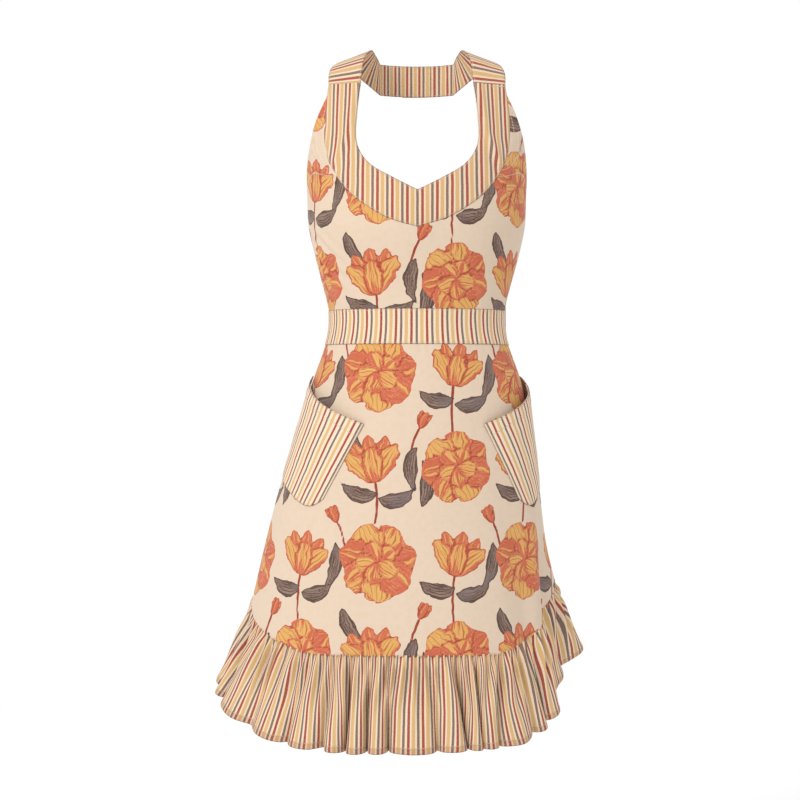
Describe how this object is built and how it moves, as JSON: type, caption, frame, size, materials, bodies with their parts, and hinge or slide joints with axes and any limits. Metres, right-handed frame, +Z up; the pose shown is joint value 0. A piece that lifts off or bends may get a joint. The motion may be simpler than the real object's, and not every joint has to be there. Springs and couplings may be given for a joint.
{
  "type": "halter apron",
  "caption": "Halter bib apron in floral print with striped neckline band, waistband, slanted patch pockets and gathered flounce, tied in a bow at the back, with an opening neck strap.",
  "frame": {"origin": "middle of the neck strap's inner face at the nape, where the apron hangs from the neck", "axes": "+Z up, -Y to the apron's front, +X to the right as seen from the front"},
  "size_m": [0.5283, 0.3072, 0.9818],
  "materials": {
    "printed_cotton": "matt woven cotton with a floral print",
    "striped_cotton": "matt woven cotton with narrow stripes",
    "plain_cotton": "matt plain woven cotton",
    "fastening_tape": "hook and loop pile"
  },
  "bodies": {
    "apron": {"bib": "printed_cotton", "skirt": "printed_cotton", "neckline_band": "striped_cotton", "neck_strap_left": "striped_cotton", "neck_strap_right": "striped_cotton", "waistband": "striped_cotton", "waist_tie_left": "striped_cotton", "waist_tie_right": "striped_cotton", "bow_knot": "striped_cotton", "bow_loop_left": "striped_cotton", "bow_loop_right": "striped_cotton", "pocket_left": "striped_cotton", "pocket_right": "striped_cotton", "flounce": "striped_cotton", "neckline_facing": "plain_cotton", "waistband_facing": "plain_cotton", "pocket_facing_left": "plain_cotton", "pocket_facing_right": "plain_cotton", "loop_tape": "fastening_tape"},
    "strap_end": {"neck_strap_end": "striped_cotton", "hook_tape": "fastening_tape"},
    "tail_left": {"bow_tail_left": "striped_cotton"},
    "tail_right": {"bow_tail_right": "striped_cotton"}
  },
  "joints": [
    {"name": "neck_closure_open", "type": "hinge", "parent": "apron", "child": "strap_end", "pos_m": [0.0541, -0.0186, 0], "axis": [0, 0, -1], "range_deg": [0, 75]},
    {"name": "bow_tail_left_swing", "type": "hinge", "parent": "apron", "child": "tail_left", "pos_m": [-0.008, 0.0427, -0.3823], "axis": [0, 1, 0], "range_deg": [-10, 50]},
    {"name": "bow_tail_right_swing", "type": "hinge", "parent": "apron", "child": "tail_right", "pos_m": [0.008, 0.0387, -0.3823], "axis": [0, -1, 0], "range_deg": [-10, 50]}
  ]
}
